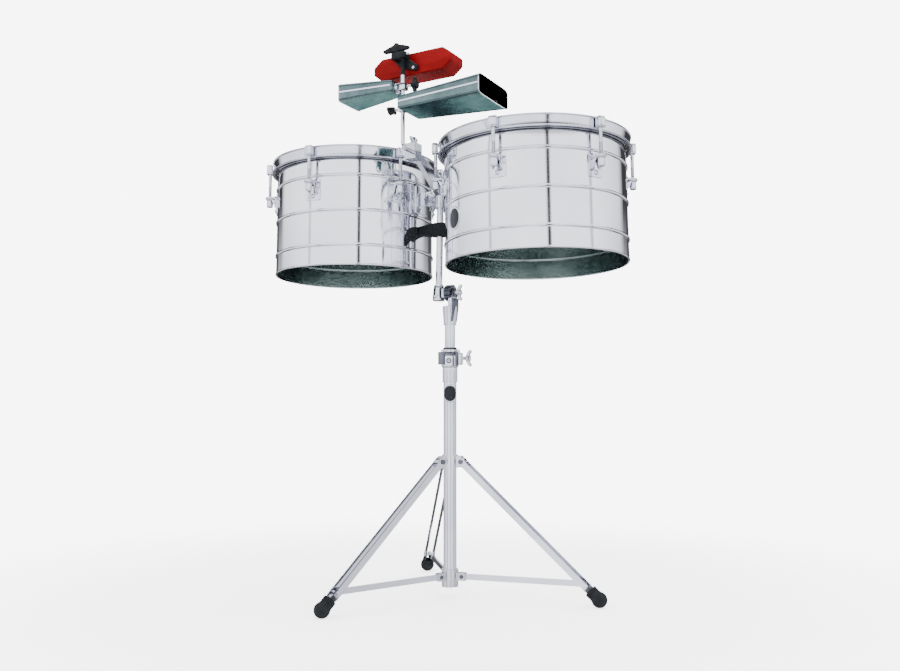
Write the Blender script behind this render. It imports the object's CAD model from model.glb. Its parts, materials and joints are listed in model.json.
import json
import math

import bmesh
import bpy
from mathutils import Matrix, Vector

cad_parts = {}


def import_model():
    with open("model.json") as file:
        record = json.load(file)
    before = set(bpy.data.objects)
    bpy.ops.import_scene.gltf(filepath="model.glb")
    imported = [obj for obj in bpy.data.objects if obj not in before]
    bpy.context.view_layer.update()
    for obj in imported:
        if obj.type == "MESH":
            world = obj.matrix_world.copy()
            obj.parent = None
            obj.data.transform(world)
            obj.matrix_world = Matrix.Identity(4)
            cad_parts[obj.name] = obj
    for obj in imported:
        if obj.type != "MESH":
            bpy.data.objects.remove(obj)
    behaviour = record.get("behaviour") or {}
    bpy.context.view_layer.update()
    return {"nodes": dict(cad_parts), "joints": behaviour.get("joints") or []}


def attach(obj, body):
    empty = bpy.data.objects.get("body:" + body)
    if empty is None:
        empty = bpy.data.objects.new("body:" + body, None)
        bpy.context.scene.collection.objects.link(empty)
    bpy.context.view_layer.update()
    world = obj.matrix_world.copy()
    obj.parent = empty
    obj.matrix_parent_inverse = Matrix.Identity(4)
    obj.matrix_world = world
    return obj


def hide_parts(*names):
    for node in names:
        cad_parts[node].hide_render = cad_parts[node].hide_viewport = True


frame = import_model()
NODES = frame["nodes"]
JOINTS = {j["name"]: j for j in frame["joints"]}

# ---------------------------------------------------------------- places, from the frame
MM = 0.001
VIEW = math.radians(29.1)                  # where the camera stands, round from -Y
TILT = math.radians(2)                     # lean of everything above the tilter
POST_LEAN = -1.4                           # sideways lean of the bell post, in degrees
AXIS = Vector(JOINTS["tilt"]["pos_m"])
COLUMN = Matrix.Translation((AXIS.x, AXIS.y, 0))
UPPER = (Matrix.Translation(AXIS) @ Matrix.Rotation(-TILT, 4, "X")
         @ Matrix.Translation((0, 0, -AXIS.z)))
MAST_X = -0.030
LARGE_Z, SMALL_Z, BLOCK_Z = 1.091, 1.141, 1.198
POST_Y = -0.172
DRUM_Z = 0.749
SHELL_H, SHELL_T = 262, 1.5
HOOP_Z, HOOP_H = 250, 28
LUG_Z, LUG_H, EAR_Z, ROD_OFF = 152, 50, 39, 19
ROD_Z = 1.003                             # the post's horizontal leg, which it leans about
LUGS = 6                                   # lugs on each drum
MAIN_TOP = 0.524                           # top of the main tube
CLAMP_TURN = 30                            # the height clamp's direction, in degrees
LEG_TURN = 9                               # direction of the first leg
LEG_PIVOT, FOOT = Vector((30, 0, 308)), Vector((345, 0, 17))
DRUMS = {
    "left": dict(x=MAST_X - 0.240, r=190.5, lean=-1, first=34),
    "right": dict(x=MAST_X + 0.250, r=203.2, lean=-2, first=32),
}


def turn(axis, degrees):
    return Matrix.Rotation(math.radians(degrees), 4, axis)


def shift(x, y, z):
    """A move given in millimetres, for shapes that are in millimetres."""
    return Matrix.Translation((x, y, z))


def upper(x, y, z):
    """A place above the tilter, in metres from the column axis and the floor."""
    return UPPER @ Matrix.Translation((x, y, z))


def drum_place(side):
    d = DRUMS[side]
    return upper(d["x"], 0, DRUM_Z) @ turn("Y", d["lean"])


# ---------------------------------------------------------------- shapes, in millimetres
def arc(cx, cz, r, a0, a1, n=8):
    """Points on an arc, angles in degrees from the radial direction."""
    steps = [math.radians(a0 + (a1 - a0) * i / n) for i in range(n + 1)]
    return [(cx + r * math.cos(a), cz + r * math.sin(a)) for a in steps]


def lathe(profile, segments=64, closed=False):
    """Turns (radius, height) points round Z. Points at radius 0 close the ends."""
    verts, faces, rings = [], [], []
    for r, z in profile:
        if r < 1e-6:
            rings.append([len(verts)] * segments)
            verts.append(Vector((0, 0, z)))
            continue
        rings.append(list(range(len(verts), len(verts) + segments)))
        for i in range(segments):
            a = 2 * math.pi * i / segments
            verts.append(Vector((r * math.cos(a), r * math.sin(a), z)))
    pairs = list(zip(rings, rings[1:]))
    if closed:
        pairs.append((rings[-1], rings[0]))
    for low, high in pairs:
        for i in range(segments):
            j = (i + 1) % segments
            face = [low[i], low[j], high[j], high[i]]
            face = [v for k, v in enumerate(face) if v not in face[:k]]
            if len(face) > 2:
                faces.append(face)
    return verts, faces


def knuckle(r, z0, z1, edge=0.8, segments=40):
    """A round bar along Z with rounded ends."""
    low = arc(r - edge, z0 + edge, edge, -90, 0, 4)
    high = arc(r - edge, z1 - edge, edge, 0, 90, 4)
    return lathe([(0, z0)] + low + high + [(0, z1)], segments)


def from_bmesh(bm, bevel=0.0, segments=3):
    if bevel:
        edges = [e for e in bm.edges if e.is_manifold and e.calc_face_angle(0) > 0.5]
        bmesh.ops.bevel(bm, geom=edges, offset=bevel, segments=segments,
                        affect="EDGES", profile=0.5, clamp_overlap=True)
    bm.verts.index_update()
    shape = [v.co.copy() for v in bm.verts], [[v.index for v in f.verts] for f in bm.faces]
    bm.free()
    return shape


def block(x0, x1, y0, y1, z0, z1, bevel=1.0, segments=3):
    bm = bmesh.new()
    size = Matrix.Diagonal((x1 - x0, y1 - y0, z1 - z0, 1))
    middle = Matrix.Translation(((x0 + x1) / 2, (y0 + y1) / 2, (z0 + z1) / 2))
    bmesh.ops.create_cube(bm, size=1, matrix=middle @ size)
    return from_bmesh(bm, bevel, segments)


def prism(outline, z0, z1, bevel=0.8, segments=3):
    """An outline in XY, extruded from z0 to z1."""
    bm = bmesh.new()
    low = [bm.verts.new((x, y, z0)) for x, y in outline]
    high = [bm.verts.new((x, y, z1)) for x, y in outline]
    bm.faces.new(low[::-1])
    bm.faces.new(high)
    for i in range(len(outline)):
        j = (i + 1) % len(outline)
        bm.faces.new((low[i], low[j], high[j], high[i]))
    bmesh.ops.recalc_face_normals(bm, faces=bm.faces)
    return from_bmesh(bm, bevel, segments)


def loft(sections, cap_start=True, cap_end=True):
    """Joins closed loops of equal length."""
    n = len(sections[0])
    verts = [Vector(p) for s in sections for p in s]
    faces = []
    for k in range(len(sections) - 1):
        for i in range(n):
            j = (i + 1) % n
            faces.append([k * n + i, k * n + j, (k + 1) * n + j, (k + 1) * n + i])
    if cap_start:
        faces.append(list(range(n))[::-1])
    if cap_end:
        faces.append([(len(sections) - 1) * n + i for i in range(n)])
    return verts, faces


def sweep(path, r, segments=24):
    """A round rod along points that lie in one YZ plane."""
    sections = []
    for k, p in enumerate(path):
        a, b = path[max(k - 1, 0)], path[min(k + 1, len(path) - 1)]
        along = (Vector(b) - Vector(a)).normalized()
        side = Vector((1, 0, 0))
        up = along.cross(side)
        sections.append([Vector(p) + r * (math.cos(t) * side + math.sin(t) * up)
                         for t in (2 * math.pi * i / segments for i in range(segments))])
    return loft(sections)


class Piece:
    """Shapes in millimetres, gathered into one object."""

    def __init__(self):
        self.verts, self.faces = [], []

    def add(self, shape, at=Matrix.Identity(4)):
        start = len(self.verts)
        self.verts += [at @ v for v in shape[0]]
        self.faces += [[start + i for i in f] for f in shape[1]]
        return self

    def build(self, name, material, body, place, replaces=(), smooth=35):
        mesh = bpy.data.meshes.new(name)
        mesh.from_pydata([place @ (v * MM) for v in self.verts], [], self.faces)
        bm = bmesh.new()
        bm.from_mesh(mesh)
        bmesh.ops.recalc_face_normals(bm, faces=bm.faces)
        for f in bm.faces:
            f.smooth = True
        for e in bm.edges:
            if e.is_manifold and e.calc_face_angle(0) > math.radians(smooth):
                e.smooth = False
        bm.to_mesh(mesh)
        bm.free()
        obj = bpy.data.objects.new(name, mesh)
        bpy.context.scene.collection.objects.link(obj)
        mesh.materials.append(material)
        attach(obj, body)
        if replaces:
            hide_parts(*replaces)
        return obj


class Nodes:
    """A small help for wiring a material's nodes."""

    def __init__(self, name, slot):
        self.mat = bpy.data.materials.new(name)
        self.mat.use_nodes = True
        self.tree = self.mat.node_tree
        self.shader = self.tree.nodes["Principled BSDF"]
        self.coord = self.new("ShaderNodeTexCoord").outputs["Object"]

    def new(self, kind, **inputs):
        node = self.tree.nodes.new(kind)
        for key, value in inputs.items():
            node.inputs[key.replace("_", " ")].default_value = value
        return node

    def link(self, a, b):
        self.tree.links.new(a, b)

    def stretched(self, scale):
        node = self.new("ShaderNodeMapping", Scale=scale)
        self.link(self.coord, node.inputs["Vector"])
        return node.outputs["Vector"]

    def noise(self, scale, detail=4.0, rough=0.55, vector=None):
        node = self.new("ShaderNodeTexNoise", Scale=scale, Detail=detail, Roughness=rough)
        self.link(vector or self.coord, node.inputs["Vector"])
        return node.outputs["Fac"]

    def ramp(self, value, low, high, at=(0.3, 0.7)):
        """Turns 0..1 into a number or a colour between low and high."""
        if isinstance(low, (int, float)):
            node = self.new("ShaderNodeMapRange")
            node.inputs["From Min"].default_value, node.inputs["From Max"].default_value = at
            node.inputs["To Min"].default_value, node.inputs["To Max"].default_value = low, high
            self.link(value, node.inputs["Value"])
            return node.outputs["Result"]
        node = self.new("ShaderNodeValToRGB")
        node.color_ramp.elements[0].position, node.color_ramp.elements[1].position = at
        node.color_ramp.elements[0].color = (*low, 1)
        node.color_ramp.elements[1].color = (*high, 1)
        self.link(value, node.inputs["Fac"])
        return node.outputs["Color"]

    def bump(self, height, strength, distance, under=None):
        node = self.new("ShaderNodeBump", Strength=strength, Distance=distance)
        self.link(height, node.inputs["Height"])
        if under is not None:
            self.link(under, node.inputs["Normal"])
        return node.outputs["Normal"]

    def finish(self, color=None, rough=None, normal=None, **fixed):
        for socket, value in (("Base Color", color), ("Roughness", rough), ("Normal", normal)):
            if value is not None:
                self.link(value, self.shader.inputs[socket])
        for key, value in fixed.items():
            self.shader.inputs[key.replace("_", " ")].default_value = value
        return self.mat


def chrome(name="chrome", low=(0.60, 0.61, 0.68), high=(0.76, 0.77, 0.83), rough=(0.04, 0.13)):
    n = Nodes(name, "chrome")
    smudge = n.noise(22, 5)
    pits = n.noise(900, 2)
    return n.finish(color=n.ramp(n.noise(9, 3), low, high), rough=n.ramp(smudge, *rough),
                    normal=n.bump(pits, 0.05, 0.0003), Metallic=1.0)


def shell_steel(name="shell_steel", low=(0.74, 0.74, 0.79), high=(0.88, 0.88, 0.92), rough=(0.02, 0.07)):
    n = Nodes(name, "polished_steel")
    rolled = n.noise(1, 3, 0.5, n.stretched((3, 3, 700)))
    wave = n.noise(6, 2)
    dull = n.ramp(n.noise(14, 5), *rough)
    fine = n.bump(rolled, 0.09, 0.0004)
    return n.finish(color=n.ramp(wave, low, high), rough=dull,
                    normal=n.bump(wave, 0.04, 0.003, fine), Metallic=1.0)


def bell_steel(name, low, high):
    n = Nodes(name, "bell_steel")
    blotch = n.noise(28, 6, 0.65)
    grain = n.noise(1, 2, 0.5, n.stretched((60, 900, 900)))
    return n.finish(color=n.ramp(blotch, low, high), rough=n.ramp(n.noise(60, 5), 0.14, 0.26),
                    normal=n.bump(grain, 0.05, 0.0004, n.bump(blotch, 0.04, 0.002)), Metallic=1.0,
                    Specular_Tint=(0.36, 0.42, 0.42, 1))


def rubber():
    n = Nodes("rubber", "rubber")
    pores = n.new("ShaderNodeTexVoronoi", Scale=420.0)
    n.link(n.coord, pores.inputs["Vector"])
    dust = n.noise(45, 6, 0.7)
    return n.finish(color=n.ramp(dust, (0.005, 0.006, 0.007), (0.016, 0.018, 0.02), (0.4, 0.85)),
                    rough=n.ramp(dust, 0.5, 0.75), Specular_IOR_Level=0.12,
                    normal=n.bump(pores.outputs["Distance"], 0.35, 0.0006))


def black_plastic():
    n = Nodes("black_plastic", "black_plastic")
    leather = n.new("ShaderNodeTexVoronoi", Scale=1100.0)
    n.link(n.coord, leather.inputs["Vector"])
    worn = n.noise(80, 5, 0.6)
    return n.finish(color=n.ramp(worn, (0.004, 0.006, 0.007), (0.012, 0.014, 0.015)),
                    rough=n.ramp(worn, 0.34, 0.52), Specular_IOR_Level=0.12,
                    normal=n.bump(leather.outputs["Distance"], 0.18, 0.0003))


def red_plastic():
    n = Nodes("red_plastic", "red_plastic")
    streak = n.noise(1, 4, 0.6, n.stretched((14, 70, 70)))
    grain = n.noise(750, 3)
    return n.finish(color=n.ramp(streak, (0.15, 0.003, 0.004), (0.21, 0.005, 0.006)),
                    rough=n.ramp(n.noise(35, 5), 0.4, 0.55),
                    normal=n.bump(grain, 0.12, 0.0003), Specular_IOR_Level=0.05)


def head_film():
    n = Nodes("head_film", "head_film")
    spray = n.noise(1400, 2)
    cloud = n.noise(11, 4)
    return n.finish(color=n.ramp(cloud, (0.74, 0.73, 0.69), (0.84, 0.83, 0.79)),
                    rough=n.ramp(cloud, 0.42, 0.58), normal=n.bump(spray, 0.25, 0.0003),
                    Transmission_Weight=0.06)


def badge_face():
    n = Nodes("badge_face", "badge")
    worn = n.noise(160, 5)
    return n.finish(color=n.ramp(worn, (0.005, 0.006, 0.007), (0.014, 0.015, 0.018)),
                    rough=n.ramp(worn, 0.25, 0.4), Specular_IOR_Level=0.12)


CHROME = chrome()
ZINC = chrome("zinc_hardware", (0.50, 0.51, 0.54), (0.66, 0.67, 0.71), (0.12, 0.28))
SHELL = shell_steel()
SHELL_INSIDE = shell_steel("shell_inside", (0.26, 0.33, 0.33), (0.44, 0.51, 0.51), (0.12, 0.28))
CAST_DARK = chrome("cast_hardware", (0.06, 0.065, 0.08), (0.20, 0.21, 0.25), (0.14, 0.3))
BELL = bell_steel("bell_steel", (0.07, 0.115, 0.118), (0.15, 0.215, 0.22))
BELL_INSIDE = bell_steel("bell_inside", (0.006, 0.008, 0.009), (0.02, 0.024, 0.026))
RUBBER = rubber()
PLASTIC = black_plastic()
RED = red_plastic()
FILM = head_film()
BADGE = badge_face()


# ---------------------------------------------------------------- drums
BEADS = [SHELL_H * f for f in (0.18, 0.49, 0.8)]


def shell_profile(r):
    """The outside of a shell, lip to bearing edge, and its inside from there back to the lip."""
    out = arc(r - 0.6, 2.4, 2.4, -150, 60, 14)
    for z in BEADS:
        out += arc(r - 1.2, z, 4.2, -73, 73, 12)
    out += arc(r - 0.8, SHELL_H - 0.8, 0.8, 0, 90, 4)
    inner = r - SHELL_T
    inside = out[-1:] + arc(inner + 0.7, SHELL_H - 0.7, 0.7, 90, 180, 4)
    for z in reversed(BEADS):
        inside += arc(r - 2.7, z, 3.0, 66, -66, 10)
    return out, inside + [(inner, 5)] + out[:1]


def head_profile(r):
    collar = arc(r - 1.2, SHELL_H - 2.6, 3.3, 90, 0, 8)
    return ([(0, SHELL_H + 0.7)] + collar + [(r + 2.8, HOOP_Z + 6)]
            + arc(r + 5.6, HOOP_Z + 4.0, 2.0, 90, -90, 8) + [(r + 2.2, HOOP_Z + 1)]
            + [(r + 2.0, SHELL_H - 2.6), (r + 0.2, SHELL_H + 0.1), (0, SHELL_H + 0.1)])


def hoop_profile(r):
    top = HOOP_Z + HOOP_H
    wall = r + 10.4
    out = [(r + 8.2, HOOP_Z + 0.4), (r + 8.8, HOOP_Z)]
    out += arc(r + 13.1, HOOP_Z + 1.3, 1.3, -90, 90, 8)
    out += arc(wall + 2, HOOP_Z + 4.6, 2, 270, 180, 5)
    out += arc(wall + 1.6, top - 4.6, 1.6, 180, 120, 4)
    out += arc(r + 11.0, top - 1.6, 1.6, -40, 120, 8)
    out += arc(r + 9.6, top - 1.4, 1.4, 90, 180, 5)
    out += arc(r + 6.8, HOOP_Z + 10.4, 1.4, 0, -90, 5)
    return out + [(r + 4.0, HOOP_Z + 9), (r + 3.4, HOOP_Z + 8.4), (r + 3.4, HOOP_Z + 7.0),
                  (r + 4.0, HOOP_Z + 6.6), (r + 8.2, HOOP_Z + 6.6)]


def bent_plate(r, width, z0, z1, corner, x0, x1, columns=20):
    """A plate with round corners that follows a shell of radius r."""
    sections = []
    for j in range(columns + 1):
        y = width * (j / columns - 0.5)
        past = max(0.0, abs(y) - (width / 2 - corner))
        cut = corner - math.sqrt(max(0.0, corner ** 2 - past ** 2))
        a = y / r
        edge = 0.5
        loop = [(x0, z0 + cut), (x1 - edge, z0 + cut), (x1, z0 + cut + edge),
                (x1, z1 - cut - edge), (x1 - edge, z1 - cut), (x0, z1 - cut)]
        sections.append([((r + x) * math.cos(a), (r + x) * math.sin(a), z) for x, z in loop])
    return loft(sections)


def bolt_head(r, h):
    dome = [(r * math.cos(math.radians(a)), h * 0.45 + h * 0.55 * math.sin(math.radians(a)))
            for a in range(0, 90, 15)]
    return lathe([(0, 0), (r, 0), (r, h * 0.45)] + dome + [(0, h)], 28)


ALONG_X = turn("Y", 90)


def lug(r):
    """One bracket: bent plate, ear for the rod, two gussets and two bolts, along +X."""
    p = Piece()
    top = LUG_Z + LUG_H
    p.add(bent_plate(r, 38, LUG_Z, top, 4, 0.1, 2.6))
    ear_x = r + ROD_OFF
    ear = arc(ear_x, 0, 11, -72, 72, 14)
    outline = [(r + 1.4, -15), (r + 7, -13)] + ear + [(r + 7, 13), (r + 1.4, 15)]
    p.add(prism(outline, LUG_Z + EAR_Z, LUG_Z + EAR_Z + 5, 1.2))
    rib = [(0, 16), (0, EAR_Z + 1), (14, EAR_Z + 1), (11, 32), (5, 20)]
    for side in (-1, 1):
        p.add(prism(rib, 0, 2.4, 0.7, 2), shift(r + 1.8, side * 9.5 + 1.2, LUG_Z) @ turn("X", 90))
    rolled = [(r + 2.4, 13), (r + 5.2, 13.4), (r + 6.4, 15.6), (r + 5.2, 18), (r + 2.4, 18.6)]
    p.add(prism(rolled, LUG_Z + 27, LUG_Z + 43, 1.0, 2))
    p.add(bolt_head(5.6, 3.4), shift(r + 2.4, 0, LUG_Z + 10) @ ALONG_X)
    p.add(bolt_head(2.6, 2.2), shift(r + 5.4, 0, LUG_Z + 10) @ ALONG_X)
    p.add(bolt_head(3.2, 2.6), shift(r + 2.3, -14.5, top - 7) @ ALONG_X)
    return p.verts, p.faces


def claw():
    """The tall rounded block that pulls down on the hoop's flange."""
    p = Piece()
    low, high = HOOP_Z + 2.9, HOOP_Z + 26.9
    p.add(block(-6, 8.5, -9.5, 9.5, low + 1.2, high, 3.4, 5))
    p.add(block(-5.6, 8.0, -8.9, 8.9, low, low + 3, 1.0, 2))
    p.add(bolt_head(4.6, 1.4), shift(0.6, 0, high - 0.7))
    return p.verts, p.faces


def threaded_rod():
    low, high, pitch = LUG_Z + EAR_Z - 12, LUG_Z + EAR_Z + 32, 1.75
    profile = [(0, low), (2.8, low)]
    for k in range(int((high - low) / pitch)):
        profile += [(3.45, low + 0.4 + k * pitch), (4.0, low + 0.4 + (k + 0.5) * pitch)]
    profile += [(4.0, high + 1), (4.0, HOOP_Z + 5), (0, HOOP_Z + 5)]
    return lathe(profile, 24)


def tension_nut():
    p = Piece()
    cup = [(0, 0.4), (4.6, 0.4)] + arc(5.6, 1.9, 1.9, -90, 0, 5) + [(7.7, 6), (7.7, 15.6), (6.6, 16.4)]
    p.add(lathe(cup + [(6.6, 17), (8.9, 17.6), (9.4, 18.4), (9.4, 19.4), (8.8, 20), (0, 20)], 40))
    return p.verts, p.faces


def around(shape, r, first, z=0):
    """One of a shape for each lug, at radius r."""
    p = Piece()
    for k in range(LUGS):
        p.add(shape, turn("Z", first + 360 / LUGS * k) @ shift(r, 0, z))
    return p


def build_drum(side):
    d = DRUMS[side]
    r, first, place, body = d["r"], d["first"], drum_place(side), side + "_drum"
    outside, inside = shell_profile(r)
    Piece().add(lathe(outside, 256)).build(
        side + "_steel_shell", SHELL, body, place, (side + "_shell",), 30)
    Piece().add(lathe(inside, 192)).build(side + "_shell_inside", SHELL_INSIDE, body, place, (), 30)
    flesh = [(r + 2.4, HOOP_Z - 1.4), (r + 6.8, HOOP_Z - 1.4), (r + 7.6, HOOP_Z - 0.6),
             (r + 7.6, HOOP_Z + 0.9), (r + 2.4, HOOP_Z + 0.9)]
    Piece().add(lathe(flesh, 192, True)).build(side + "_flesh_hoop", CAST_DARK, body, place)
    Piece().add(lathe(head_profile(r), 192)).build(
        side + "_drum_head", FILM, body, place, (side + "_head",), 50)
    Piece().add(lathe(hoop_profile(r), 256, True)).build(
        side + "_counterhoop", CHROME, body, place, (side + "_hoop",), 50)
    around(lug(r), 0, first).build(
        side + "_lug_brackets", CHROME, body, place, (side + "_lugs",))
    around(claw(), r + ROD_OFF, first).build(
        side + "_hoop_claws", CHROME, body, place, (side + "_claws",))
    around(threaded_rod(), r + ROD_OFF, first).build(
        side + "_threaded_rods", ZINC, body, place, (side + "_rods",), 60)
    around(tension_nut(), r + ROD_OFF, first, LUG_Z + EAR_Z - 20).build(
        side + "_tension_nuts", CHROME, body, place, (side + "_nuts",))


for side in DRUMS:
    build_drum(side)


# ---------------------------------------------------------------- screws and knobs
WING = [(0, 4), (1.5, 9), (3.5, 14), (7, 18.2), (11.5, 19.6), (14.6, 17.6),
        (14.2, 13.6), (11.4, 9.4), (9.6, 4)]


def wing_screw(name, node, body, place, r, shaft, size):
    """A cast wing screw along +X, its wings to either side along Y."""
    p = Piece()
    p.add(knuckle(r, 0, shaft + 4, 0.6), ALONG_X)
    hub = [(0, shaft)] + arc(r + 2.6, shaft + 1, 1, -90, 0, 4) + [(r + 2.8, shaft + 8)]
    hub += arc(r + 0.4, shaft + 10, 2.2, 0, 90, 5) + [(0, shaft + 12.2)]
    p.add(lathe(hub, 36), ALONG_X)
    outline = [(x * size, y * size) for x, y in WING]
    for s in (0, 180):
        p.add(prism(outline, -2.6, 2.6, 1.9, 4), shift(shaft, 0, 0) @ turn("X", s))
    p.build(name, CHROME, body, place, (node,))


def ear_knob(name, node, body, place, r, shaft, reach=18, peak=0):
    """A moulded knob with two ears on a plain shaft, along +X."""
    p = Piece()
    core = [(0, shaft), (8.2, shaft)] + arc(7.6, shaft + 11.2, 1.8, 0, 90, 5) + [(0, shaft + 13)]
    p.add(lathe(core, 40), ALONG_X)
    ear = ([(2, 3), (1.5, reach - 8), (3, reach - 2)] + arc(6.5, reach - 3.6, 3.4, 130, -10, 10)
           + [(10.6 + peak * 0.25, reach - 12 if reach > 20 else 8), (12 + peak * 0.7, 3)])
    for s in (0, 180):
        p.add(prism(ear, -4.4, 4.4, 2.0, 4), shift(shaft, 0, 0) @ turn("X", s))
    if peak:
        crown = [(0, shaft + 8), (8, shaft + 10), (6.2, shaft + 12 + peak * 0.6)]
        crown += arc(4, shaft + 10.5 + peak, 1.5, 10, 90, 4) + [(0, shaft + 12 + peak)]
        p.add(lathe(crown, 36), ALONG_X)
    p.build(name, PLASTIC, body, place, (node,))
    stem = Piece().add(knuckle(r, 0, shaft + 1, 0.4), ALONG_X)
    stem.build(name + "_shaft", ZINC, body, place)
    top = shaft + 12 + peak
    tip = Piece().add(knuckle(r - 0.4, top - 1, top + 0.9, 0.5), ALONG_X)
    tip.build(name + "_tip", ZINC, body, place)


def post(z):
    """A place on the bell post's axis, which leans sideways in its clamp."""
    return upper(MAST_X, POST_Y, ROD_Z) @ turn("Y", POST_LEAN) @ Matrix.Translation((0, 0, z - ROD_Z))


wing_screw("clamp_wing_screw", "clamp_screw", "clamp_screw",
           COLUMN @ turn("Z", CLAMP_TURN) @ Matrix.Translation((0.016, -0.013, MAIN_TOP + 0.021))
           @ turn("X", 90), 4, 20, 1.0)
wing_screw("tilter_wing_screw", "tilter_screw", "tilter_screw",
           COLUMN @ Matrix.Translation((-0.005, 0, AXIS.z)) @ turn("X", 90), 4, 23, 1.0)
for side, s in (("left", -1), ("right", 1)):
    wing_screw(side + "_drum_wing_screw", side + "_mount_screw", side + "_mount_screw",
               upper(MAST_X + s * 0.024, -0.010, 0.925) @ turn("Z", 90), 4, 14, 0.63)
wing_screw("rod_wing_screw", "rod_clamp_screw", "rod_clamp_screw",
           upper(MAST_X, -0.127, 1.00785) @ turn("Y", -90), 3.5, 18, 0.82)
ear_knob("large_bell_wing_knob", "large_bell_knob", "large_bell_knob",
         post(LARGE_Z) @ Matrix.Translation((-0.00495, 0, 0)) @ turn("Z", 180), 3, 18)
ear_knob("small_bell_wing_knob", "small_bell_knob", "small_bell_knob",
         post(SMALL_Z) @ Matrix.Translation((0.00495, 0, 0)) @ turn("X", 90), 3, 20)
upwards = turn("Y", -90) @ turn("X", 90)
ear_knob("block_wing_knob", "block_knob", "block_knob",
         post(BLOCK_Z + 0.0102) @ Matrix.Translation((-0.017, 0, 0)) @ upwards, 3, 16, 34, 9)


# ---------------------------------------------------------------- bells
def bell_section(x, w, h, count=72, power=9.0):
    loop = []
    for i in range(count):
        t = 2 * math.pi * i / count
        c, s = math.cos(t), math.sin(t)
        loop.append((x, w / 2 * math.copysign(abs(c) ** (2 / power), c),
                     h / 2 * math.copysign(abs(s) ** (2 / power), s)))
    return loop


def build_bell(name, node, body, place, length, w, h, k, t=1.6):
    """A folded sheet bell along +X with welded side seams."""
    def size(x):
        return k + (1 - k) * x / length
    rounding = ((0.0, 3.0), (0.8, 1.2), (2.4, 0.2), (5, 0), (length * 0.5, 0), (length - 0.6, 0),
                (length, 0.5))
    out = [bell_section(x, w * size(x) - 3 - 2 * e, h * size(x) - 2 * e) for x, e in rounding]
    inner = [bell_section(x, w * size(x) - 3 - 2 * t, h * size(x) - 2 * t)
             for x in (length, length - 0.6, length * 0.5, t + 2)]
    Piece().add(loft(out, True, False)).build(name, BELL, body, place, (node,), 40)
    hollow = Piece().add(loft([out[-1]] + inner, False, True))
    hollow.build(name + "_inside", BELL_INSIDE, body, place, (), 40)
    seams = Piece()
    for s in (-1, 1):
        strip = []
        for x in (3, length * 0.5, length - 2):
            y = s * w / 2 * size(x)
            strip.append([(x, y, 1.6), (x, y, -1.6), (x, y - s * 3.4, -1.6), (x, y - s * 3.4, 1.6)])
        seams.add(loft(strip))
        for j in range(5):
            x = length * (0.12 + 0.19 * j)
            seams.add(bolt_head(2.4, 1.0), shift(x, s * (w / 2 * size(x) - 2.6), 1.4))
    rim = [bell_section(x, w * size(x) - 3 + e, h * size(x) + e) for x, e in
           ((length - 2.4, 0.0), (length - 2.0, 0.5), (length - 0.3, 0.5), (length, -0.4))]
    rim += [bell_section(length - 0.1, w - 5.2, h - 2.4), bell_section(length - 2.4, w - 5.6, h - 2.8)]
    seams.add(loft(rim, False, False))
    seams.build(name + "_seams", CHROME, body, place, (), 30)


build_bell("large_cowbell", "large_bell", "large_bell",
           post(LARGE_Z) @ Matrix.Translation((0.014, 0, 0)), 212, 140, 43, 0.7)
build_bell("small_cowbell", "small_bell", "small_bell",
           post(SMALL_Z) @ Matrix.Translation((-0.014, 0, 0)) @ turn("Z", 180), 132, 90, 43, 0.6)


def bell_mount(bell, node, z, s):
    """The boss on the closed end and the bent strap that goes round the post."""
    side = turn("Z", 0 if s > 0 else 180)
    boss = Piece().add(lathe([(0, 0), (11.6, 0), (12.6, 1), (12.6, 4), (9, 6.4), (0, 7)], 40), ALONG_X)
    boss.build(bell + "_boss", CHROME, bell, post(z) @ Matrix.Translation((s * 0.0125, 0, 0)) @ side)
    p = Piece()
    p.add(block(-9.6, 13.6, -8.8, -6.2, -7.8, 7.8, 1.0))
    p.add(block(-9.6, 13.6, 6.2, 8.8, -7.8, 7.8, 1.0))
    p.add(block(10.8, 13.8, -8.8, 8.8, -7.8, 7.8, 1.0))
    p.add(lathe([(5, -6.4), (6.6, -6.0), (6.6, 6.0), (5, 6.4)], 32, True))
    p.build(bell + "_strap", CHROME, bell, post(z) @ side, (node,))
    jaw = Piece().add(block(-9.2, -5.2, -6.6, 6.6, -6.4, 6.4, 0.9))
    jaw.add(block(5.4, 10.9, -6.4, 6.4, -6.6, 6.6, 0.9))
    jaw.build(bell + "_jaw", PLASTIC, bell, post(z) @ side)


bell_mount("large_bell", "large_bell_clamp", LARGE_Z, 1)
bell_mount("small_bell", "small_bell_clamp", SMALL_Z, -1)


# ---------------------------------------------------------------- block
def carve(obj, *cutters):
    """Cuts other pieces out of a piece, and removes them."""
    for k, cutter in enumerate(cutters):
        cut = obj.modifiers.new(f"cut_{k}", "BOOLEAN")
        cut.object, cut.solver = cutter, "EXACT"
    shaped = bpy.data.meshes.new_from_object(obj.evaluated_get(bpy.context.evaluated_depsgraph_get()))
    obj.modifiers.clear()
    obj.data = shaped
    for cutter in cutters:
        bpy.data.objects.remove(cutter)


def build_block():
    """The red block: ends brought to a blunt edge, and a slot at one end."""
    half, place = 101.5, post(BLOCK_Z) @ Matrix.Translation((0.012, 0.046, 0))
    outline = [(-half + 22, 26), (half - 22, 26), (half, 9), (half, -9),
               (half - 22, -26), (-half + 22, -26), (-half, -9), (-half, 9)]
    p = Piece().add(prism(outline, -29, 29, 4.2, 5), turn("X", 90))
    obj = p.build("red_block", RED, "block", place, ("block",), 50)
    slot = Piece().add(block(-half - 1, half - 24, -24, 24, 0, 9, 1.5))
    carve(obj, slot.build("slot_cutter", RED, "block", place))


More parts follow.
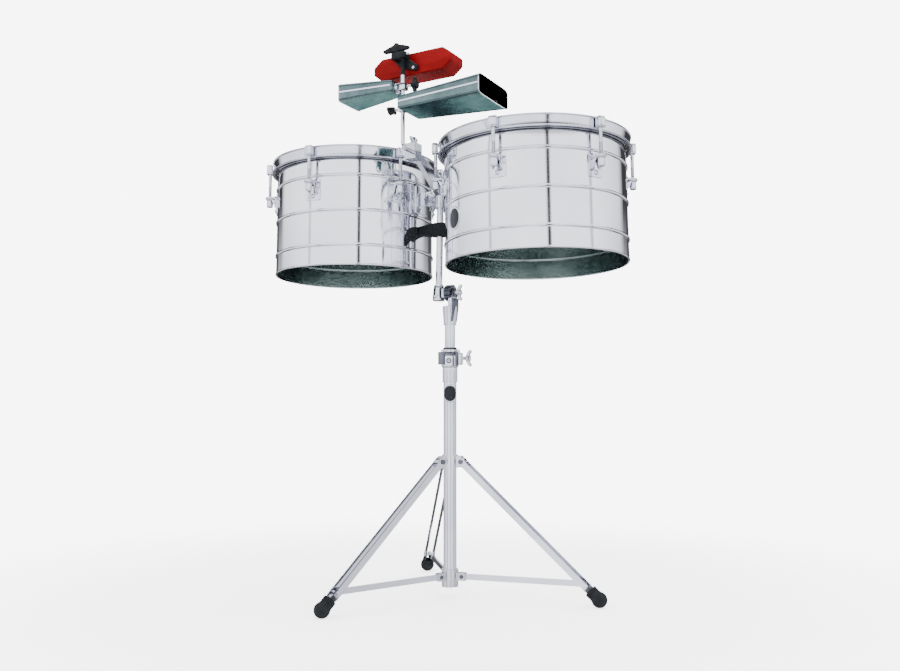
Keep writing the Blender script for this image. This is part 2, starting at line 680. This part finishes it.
def build_block_clamp():
    """Black clamp on the top of the post, with a web down the front of the block."""
    place = post(BLOCK_Z)
    p = Piece()
    p.add(block(-27, 10, -9, 16.9, 8, 24, 3.2, 4))
    web = [(-26, 9), (-18, -2), (8, -14), (30, -20), (32, -8), (10, 9)]
    p.add(prism(web, -16.9, -8, 1.6, 3), turn("X", 90))
    obj = p.build("block_post_clamp", PLASTIC, "block", place, ("block_clamp",))
    cutter = Piece().add(lathe([(0, -30), (4.84, -30), (4.84, 15), (0, 15)], 40)).build(
        "bore_cutter", PLASTIC, "block", place)
    carve(obj, cutter)
    bolts = Piece()
    for x, z in ((22, -13), (-2, -6)):
        bolts.add(bolt_head(3.6, 2.4), shift(x, -8.2 + 16, z) @ turn("X", 90))
    bolts.add(knuckle(3, 10, 17, 0.5), shift(0, -2, 17) @ ALONG_X)
    bolts.build("block_clamp_bolts", ZINC, "block", place)


build_block()
build_block_clamp()


# ---------------------------------------------------------------- tubes, clamp and tilter
def pipe(r, wall, z0, z1, lip=0.6, segments=120):
    """A tube along Z with rounded ends."""
    out = arc(r - lip, z0 + lip, lip, -90, 0, 4) + arc(r - lip, z1 - lip, lip, 0, 90, 4)
    return lathe(out + [(r - wall, z1), (r - wall, z0)], segments, True)


def build_tubes():
    Piece().add(pipe(15, 1.5, 30, 524)).build("main_column", CHROME, "stand", COLUMN, ("main_tube",))
    Piece().add(pipe(12, 2, 300, 652)).build("inner_column", CHROME, "column", COLUMN, ("inner_tube",))
    Piece().add(pipe(8, 1.5, 684, 969, 0.8)).build(
        "mast", CHROME, "mast", upper(MAST_X, 0, 0), ("mast_tube",))
    sleeve = Piece().add(pipe(17.5, 2.5, 490, 524, 0.8)).build(
        "slit_sleeve", CHROME, "stand", COLUMN, ("clamp_sleeve",))
    slit = Piece().add(block(0, 40, -1.5, 1.5, 498, 530, 0.4), turn("Z", CLAMP_TURN - 90))
    carve(sleeve, slit.build("slit_cutter", CHROME, "stand", COLUMN))
    bend = [math.radians(a) for a in range(0, 91, 9)]
    path = [(0, 74, 0)] + [(0, 14 - 14 * math.sin(a), 14 - 14 * math.cos(a)) for a in bend] + [(0, 0, 209)]
    Piece().add(sweep(path, 4.75, 32)).build("bell_post_rod", CHROME, "bell_post", post(ROD_Z), ("bell_rod",))


def build_height_clamp():
    """The split clamp under the inner tube, its front towards -Y."""
    place = COLUMN @ turn("Z", CLAMP_TURN) @ Matrix.Translation((0, 0, MAIN_TOP))
    p = Piece()
    p.add(lathe([(16.2, 0.4), (18.4, 0.4), (20, 2), (20, 26), (18.2, 28), (18.2, 32), (19.6, 34),
                 (19.6, 40.4), (18.4, 42), (16.2, 42)], 72, True))
    p.add(block(-12.5, 12.5, -22.5, -12, 1.4, 27.6, 2.6, 4))
    p.add(block(17.6, 30, -20, -6.4, 5.4, 33.6, 3.4, 4))
    for x in (-21, 15):
        p.add(block(x, x + 8, -16, -6, 32, 41.6, 1.6, 3))
    p.build("height_clamp_body", CHROME, "stand", place, ("height_clamp",))
    dark = Piece()
    dark.add(knuckle(8.4, 6.4, 35.6, 1.4), shift(-19.5, -12.4, 0))
    dark.add(block(12.2, 18, -20.6, -9, 3.4, 36, 1.2))
    dark.add(block(-14, 14, -20, -10, 27, 31.4, 1))
    dark.build("height_clamp_hinge", CAST_DARK, "stand", place)
    bolt = Piece().add(bolt_head(6.2, 2.2), shift(-3, -22.2, 15) @ turn("X", 90))
    bolt.build("height_clamp_bolt", CAST_DARK, "stand", place, ("clamp_bolt",))
    socket = Piece().add(lathe([(1.6, 0), (2.8, 0), (2.8, 0.8), (1.6, 0.8)], 32, True),
                         shift(-3, -24, 15) @ turn("X", 90))
    socket.build("height_clamp_socket", CHROME, "stand", place)


def toothed(r, x0, x1, teeth=30, depth=1.5):
    """A disc along X with a toothed edge."""
    outline = []
    for k in range(teeth):
        for share, cut in ((0.05, depth), (0.4, depth), (0.55, 0), (0.9, 0)):
            a = 2 * math.pi * (k + share) / teeth
            outline.append(((r - cut) * math.cos(a), (r - cut) * math.sin(a)))
    z, faces = prism(outline, x0, x1, 0, 1)
    return [ALONG_X @ v for v in z], faces


def build_tilter():
    """Toothed joint: a fork on the column, and a cup with an arm that holds the mast."""
    base = Piece()
    base.add(lathe([(12.1, 622.4), (14.2, 622.4), (15, 623.4), (15.4, 634), (17.3, 662), (17.3, 665),
                    (15.6, 666.4), (12.1, 666.4)], 72, True))
    side = [(-15, 650), (-15.5, 672), (-13, 692), (13, 692), (15.5, 672), (15, 650)]
    base.add(prism(side, 2, 12.4, 1.6, 3), turn("Z", 90) @ turn("X", 90))
    base.build("tilter_fork", CHROME, "tilter", COLUMN, ("tilter_base",))
    web = Piece().add(prism([(8, 630), (12.4, 630), (16.8, 662), (16.8, 684), (8, 684)],
                            -12.4, 12.4, 1.4, 3), turn("X", 90))
    web.build("tilter_web", CAST_DARK, "tilter", COLUMN)
    at = COLUMN @ Matrix.Translation((0, 0, AXIS.z))
    Piece().add(toothed(19.4, 1.6, 9.2)).add(knuckle(11, 8, 12.5, 1.2), ALONG_X).build(
        "tilter_disc", CAST_DARK, "tilter", at)
    cup = Piece()
    cup.add(lathe([(8, -17), (13.2, -17), (14.4, -15.8), (14.2, -8), (12.6, 12), (11.6, 18), (10.4, 20.6),
                   (8, 21)], 64, True))
    cup.add(lathe([(0, -17), (9, -17), (9, -13), (0, -13)], 48))
    cup.add(block(10, 25, -8.4, 8.4, -11.4, 11.4, 3, 4))
    cup.add(bolt_head(4.8, 3.4), shift(0, -13.4, -7) @ turn("X", 90))
    cup.build("tilter_cup", CHROME, "mast", upper(MAST_X, 0, AXIS.z), ("tilter_head",))
    Piece().add(toothed(19.4, -7.6, 1.0)).add(knuckle(11, -9.6, -6, 1.2), ALONG_X).build(
        "tilter_cup_disc", CAST_DARK, "mast", upper(0, 0, AXIS.z))


build_tubes()
build_height_clamp()
build_tilter()


# ---------------------------------------------------------------- feet and badges
def foot(i):
    """Ribbed rubber sleeve and ball, along the leg's own axis."""
    dip = math.degrees(math.atan2(LEG_PIVOT.z - FOOT.z, FOOT.x - LEG_PIVOT.x))
    profile = [(0, -28), (12.6, -28), (13.6, -27.2)]
    for z in (-25.8, -20.4):
        profile += [(14.5, z), (14.5, z + 3.4), (13.5, z + 4.1), (13.5, z + 4.9)]
    profile += [(14.4, -13.4)] + arc(0, 0, 17.4, -38, 90, 20)[1:-1] + [(0, 17.4)]
    along_leg = turn("Z", LEG_TURN + 120 * i) @ shift(FOOT.x, 0, FOOT.z) @ turn("Y", dip)
    p = Piece().add(lathe(profile, 56), along_leg @ ALONG_X)
    for v in p.verts:
        v.z = max(v.z, 0.0)
    groove = Piece().add(block(-52, -9, -3, 3, 0, 22, 0.8), along_leg)
    slot = [(-52, -11.7), (-34.8, -11.7), (-14.8, -3.3), (-2, -3.3), (-2, 3.3), (-14.8, 3.3),
            (-34.8, 11.7), (-52, 11.7)]
    hollow = Piece().add(prism(slot, -7.35, 7.35, 0, 1), along_leg)
    return p, groove, hollow


for number, i in ((1, 2), (2, 0), (3, 1)):
    shape, groove, hollow = foot(i)
    body = f"leg_{number}"
    rubber_foot = shape.build(f"rubber_foot_{number}", RUBBER, body, COLUMN, (f"foot_{number}",), 60)
    carve(rubber_foot, groove.build("groove_cutter", RUBBER, body, COLUMN),
          hollow.build("hollow_cutter", RUBBER, body, COLUMN))


def badge(name, node, body, place, r, curve):
    """A round badge bent to a radius, facing +X: bright rim, blank dark face."""
    def bent(profile):
        verts, faces = lathe(profile, 64)
        turns = [v.y / curve for v in verts]
        return [Vector((curve * math.cos(a) + v.z, curve * math.sin(a), v.x))
                for v, a in zip(verts, turns)], faces

    dome = [(r * 0.84 * k / 8, 1.1 - 0.5 * (k / 8) ** 2) for k in range(9)]
    rim = [(r * 0.83, 0.2), (r * 0.83, 0.9), (r * 0.87, 1.2), (r * 0.95, 1.1), (r, 0.6), (r, 0.1)]
    Piece().add(bent(dome + [(r * 0.85, 0.2)])).build(name, BADGE, body, place, (node,))
    Piece().add(bent(rim)).build(name + "_rim", CHROME, body, place)


badge("blank_stand_badge", "stand_badge", "stand",
      COLUMN @ Matrix.Translation((0, 0, 0.464)) @ turn("Z", -61), 21, 15)
badge("blank_shell_badge", "shell_badge", "right_drum",
      drum_place("right") @ turn("Z", 235) @ Matrix.Translation((0, 0, 0.088)), 26, 203.2)


# ---------------------------------------------------------------- CAD nodes that stay
FINISH = {
    "bumper": RUBBER, "nylon_bush": PLASTIC, "hub_pins": CAST_DARK, "leg_pins": CAST_DARK,
    "collar_screw": CAST_DARK, "drum_holder": ZINC, "lower_hub": ZINC,
}
EDGE = {"bumper": 0.003, "drum_holder": 0.0012, "leg_collar": 0.001, "lower_hub": 0.001}
hidden = {o.name for o in NODES.values() if o.hide_render}
for name, node in NODES.items():
    if name in hidden:
        continue
    material = FINISH.get(name, CHROME)
    for k in range(len(node.material_slots)):
        node.material_slots[k].material = material
    if not node.material_slots:
        node.data.materials.append(material)
    weld = node.modifiers.new("weld", "WELD")
    weld.merge_threshold = 1e-5
    bevel = node.modifiers.new("bevel", "BEVEL")
    bevel.width = EDGE.get(name, 0.0005)
    bevel.segments = 3
    bevel.limit_method = "ANGLE"
    bevel.angle_limit = math.radians(38)
    bevel.harden_normals = False
    normals = node.modifiers.new("normals", "WEIGHTED_NORMAL")
    normals.keep_sharp = False
    normals.weight = 80


# ---------------------------------------------------------------- floor, light and camera
STUDIO_STRENGTH = 3.3
BACKDROP = (2.3, 2.3, 2.3)                 # what the camera sees behind the object, times the strength
FLOOR_FADE = (0.55, 1.75)                  # the floor fades out between these distances, in metres
FLOOR_GLOW = 2.6                           # keeps the floor as pale as the backdrop


def floor():
    """A pale round floor that fades into the backdrop."""
    shape = Piece().add(lathe([(0, 0), (500, 0), (1000, 0), (1900, 0)], 96))
    mesh = bpy.data.meshes.new("floor")
    mesh.from_pydata([COLUMN @ (v * MM) for v in shape.verts], [], shape.faces)
    obj = bpy.data.objects.new("floor", mesh)
    bpy.context.scene.collection.objects.link(obj)
    mat = bpy.data.materials.new("pale_floor")
    mat.use_nodes = True
    tree = mat.node_tree
    shader = tree.nodes["Principled BSDF"]
    shader.inputs["Base Color"].default_value = (0.92, 0.92, 0.93, 1)
    shader.inputs["Roughness"].default_value = 0.8
    shader.inputs["Specular IOR Level"].default_value = 0.1
    shader.inputs["Emission Color"].default_value = (1, 1, 1, 1)
    shader.inputs["Emission Strength"].default_value = FLOOR_GLOW
    coord = tree.nodes.new("ShaderNodeTexCoord")
    reach = tree.nodes.new("ShaderNodeVectorMath")
    reach.operation = "LENGTH"
    tree.links.new(coord.outputs["Object"], reach.inputs[0])
    fade = tree.nodes.new("ShaderNodeMapRange")
    fade.interpolation_type = "SMOOTHSTEP"
    fade.inputs["From Min"].default_value, fade.inputs["From Max"].default_value = FLOOR_FADE
    tree.links.new(reach.outputs["Value"], fade.inputs["Value"])
    clear = tree.nodes.new("ShaderNodeBsdfTransparent")
    mix = tree.nodes.new("ShaderNodeMixShader")
    tree.links.new(fade.outputs["Result"], mix.inputs["Fac"])
    tree.links.new(shader.outputs["BSDF"], mix.inputs[1])
    tree.links.new(clear.outputs["BSDF"], mix.inputs[2])
    tree.links.new(mix.outputs["Shader"], tree.nodes["Material Output"].inputs["Surface"])
    mesh.materials.append(mat)
    obj.visible_glossy = False


def area_light(name, place, target, size, power):
    """A soft light that doesn't show in reflections."""
    light = bpy.data.lights.new(name, "AREA")
    light.shape, light.size, light.size_y, light.energy = "RECTANGLE", size[0], size[1], power
    obj = bpy.data.objects.new(name, light)
    obj.location = place
    obj.rotation_euler = (Vector(target) - Vector(place)).to_track_quat("-Z", "Y").to_euler()
    obj.visible_glossy = False
    bpy.context.scene.collection.objects.link(obj)


def world():
    """Plain and pale to look at. Bright metal reflects pale panels with dark gaps between them."""
    w = bpy.data.worlds.new("studio")
    bpy.context.scene.world = w
    w.use_nodes = True
    tree = w.node_tree
    new, link = tree.nodes.new, tree.links.new
    back = tree.nodes["Background"]
    coord = new("ShaderNodeTexCoord")
    turned = new("ShaderNodeMapping")
    turned.vector_type = "POINT"
    turned.inputs["Rotation"].default_value = (0, 0, math.radians(90) - VIEW)
    link(coord.outputs["Generated"], turned.inputs["Vector"])
    split = new("ShaderNodeSeparateXYZ")
    link(turned.outputs["Vector"], split.inputs["Vector"])
    angle = new("ShaderNodeMath")
    angle.operation = "ARCTAN2"                      # 0 towards the camera
    link(split.outputs["Y"], angle.inputs[0])
    link(split.outputs["X"], angle.inputs[1])
    share = new("ShaderNodeMapRange")
    share.inputs["From Min"].default_value, share.inputs["From Max"].default_value = -math.pi, math.pi
    link(angle.outputs[0], share.inputs["Value"])

    def steps(ramp, rows, tint=(1, 1, 1)):
        """Fills a ramp with (position, value) rows."""
        stops = ramp.color_ramp.elements
        while len(stops) > 1:
            stops.remove(stops[-1])
        for k, (at, value) in enumerate(rows):
            stop = stops[0] if k == 0 else stops.new(at)
            stop.position = at
            stop.color = (*(value * t for t in tint), 1)

    def panels(rows):
        """A ring of panels, from (degrees from the camera, brightness) rows."""
        ramp = new("ShaderNodeValToRGB")
        link(share.outputs["Result"], ramp.inputs["Fac"])
        steps(ramp, [((degrees + 180) / 360, value) for degrees, value in rows], (0.93, 0.94, 1))
        return ramp.outputs["Color"]

    dim, pale = 0.02, 0.8
    high = panels([(-170, pale), (-162, dim), (-132, dim), (-120, 0.6), (-66, pale), (-64, 0.2), (-61, pale),
                   (8, pale), (9.5, dim), (12.5, dim), (14, pale), (64, pale), (67, 0.2), (70, pale),
                   (120, 0.5), (134, dim), (162, dim), (170, pale)])
    low = panels([(-172, 0.1), (-166, 0.05), (-148, 0.05), (-138, 0.4), (-92, 0.4), (-84, 0.7), (-52, 0.7),
                  (-49, 0.2), (-44, 0.2), (-40, 0.75), (6, 0.85), (9, 0.1), (14, 0.1), (17, 0.8), (60, 0.6),
                  (66, 0.15), (71, 0.5), (138, 0.36), (148, 0.05), (166, 0.05), (172, 0.1)])
    tall = new("ShaderNodeMapRange")
    tall.inputs["From Min"].default_value, tall.inputs["From Max"].default_value = 0.10, 0.20
    link(split.outputs["Z"], tall.inputs["Value"])
    both = new("ShaderNodeMix")
    both.data_type = "RGBA"
    link(tall.outputs["Result"], both.inputs["Factor"])
    link(low, both.inputs["A"])
    link(high, both.inputs["B"])
    above = new("ShaderNodeMapRange")
    above.inputs["From Min"].default_value, above.inputs["From Max"].default_value = 0.55, 0.8
    link(split.outputs["Z"], above.inputs["Value"])
    roof = new("ShaderNodeMix")
    roof.data_type = "RGBA"
    link(above.outputs["Result"], roof.inputs["Factor"])
    link(both.outputs["Result"], roof.inputs["A"])
    roof.inputs["B"].default_value = (0.8, 0.82, 0.86, 1)
    bands = new("ShaderNodeValToRGB")                # dark rings above and below draw the edges
    height = new("ShaderNodeMapRange")
    height.inputs["From Min"].default_value, height.inputs["From Max"].default_value = -1, 1
    link(split.outputs["Z"], height.inputs["Value"])
    link(height.outputs["Result"], bands.inputs["Fac"])
    steps(bands, [((z + 1) / 2, value) for z, value in (
        (-0.62, 0.8), (-0.56, 0.05), (-0.42, 0.05), (-0.34, 0.9),
        (0.42, 1.0), (0.47, 0.05), (0.58, 0.05), (0.64, 1.0))])
    edged = new("ShaderNodeMix")
    edged.data_type, edged.blend_type = "RGBA", "MULTIPLY"
    edged.inputs["Factor"].default_value = 1
    link(roof.outputs["Result"], edged.inputs["A"])
    link(bands.outputs["Color"], edged.inputs["B"])
    path = new("ShaderNodeLightPath")
    choose = new("ShaderNodeMix")
    choose.data_type = "RGBA"
    link(path.outputs["Is Camera Ray"], choose.inputs["Factor"])
    link(edged.outputs["Result"], choose.inputs["A"])
    choose.inputs["B"].default_value = (*BACKDROP, 1)
    link(choose.outputs["Result"], back.inputs["Color"])
    back.inputs["Strength"].default_value = STUDIO_STRENGTH


def camera():
    """The view: from the audience's side, at knee height, looking slightly up."""
    azimuth, distance, height, pitch = VIEW, 2.311, 0.461, 3.4
    data = bpy.data.cameras.new("camera")
    data.sensor_width, data.lens = 36, 39.9
    obj = bpy.data.objects.new("camera", data)
    obj.location = (AXIS.x + distance * math.sin(azimuth), AXIS.y - distance * math.cos(azimuth), height)
    obj.rotation_euler = (math.radians(90 + pitch), 0, azimuth)
    bpy.context.scene.collection.objects.link(obj)
    bpy.context.scene.camera = obj


floor()
world()
camera()
area_light("key", (-1.6, -2.6, 2.9), (0, 0, 0.6), (1.6, 1.6), 75)
area_light("fill", (2.9, -1.2, 2.2), (0, 0, 0.6), (1.4, 2.0), 50)
area_light("top", (0.2, 0.6, 3.6), (0, 0, 0), (2.4, 2.4), 110)

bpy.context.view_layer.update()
